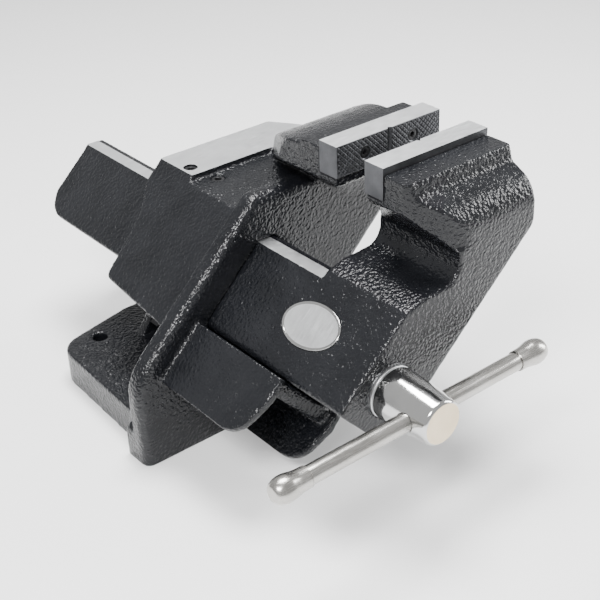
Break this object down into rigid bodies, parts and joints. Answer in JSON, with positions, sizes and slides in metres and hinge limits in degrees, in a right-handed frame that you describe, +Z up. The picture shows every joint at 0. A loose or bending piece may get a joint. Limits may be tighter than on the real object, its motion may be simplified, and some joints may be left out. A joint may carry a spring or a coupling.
{
  "type": "offset bench vise",
  "caption": "Heavy cast bench vise whose body leans over so the jaws overhang the base, with a screw-driven sliding jaw, serrated jaw plates and an anvil pad.",
  "frame": {"origin": "on the bench face of the base, near the middle of its four bolt holes", "axes": "+X along the jaws, towards the side that the body leans to; +Y along the slide, away from the handle; +Z up"},
  "size_m": [0.4056, 0.674, 0.348],
  "materials": {
    "casting": "glossy near-black hammer enamel",
    "machined": "ground and brushed",
    "polished": "polished",
    "satin": "satin nickel",
    "blackened": "black oxide",
    "bronze": "as machined",
    "iron": "bare, oiled"
  },
  "bodies": {
    "body": {"fixed_body": "casting", "rear_jaw_plate": "machined", "rear_jaw_screw_left": "blackened", "rear_jaw_screw_right": "blackened", "screw_nut": "bronze", "nut_bolt_front": "blackened", "nut_bolt_rear": "blackened", "nut_washer_front": "machined", "nut_washer_rear": "machined", "slide_gib": "bronze", "adjusting_screw_rear": "blackened", "adjusting_screw_front": "blackened"},
    "slide": {"front_jaw": "casting", "front_jaw_plate": "machined", "front_jaw_screw_left": "blackened", "front_jaw_screw_right": "blackened", "name_badge": "satin", "thrust_washer": "machined"},
    "screw": {"lead_screw": "polished", "retaining_collar": "iron", "collar_pin": "iron"},
    "handle": {"handle_bar": "satin", "handle_knob_left": "satin", "handle_knob_right": "satin"}
  },
  "joints": [
    {"name": "jaw_slide", "type": "slide", "parent": "body", "child": "slide", "axis": [0, -1, 0], "range_m": [-0.0423, 0.107]},
    {"name": "screw_turn", "type": "hinge", "parent": "slide", "child": "screw", "pos_m": [0.03136, -0.39, 0.14238], "axis": [0, -1, 0], "range_deg": [-2550, 6430]},
    {"name": "bar_slide", "type": "slide", "parent": "screw", "child": "handle", "axis": [1, 0, 0], "range_m": [-0.104, 0.121]}
  ],
  "couplings": [
    {"joint": "screw_turn", "follows": "jaw_slide", "rad_per_m": 1047.2}
  ]
}
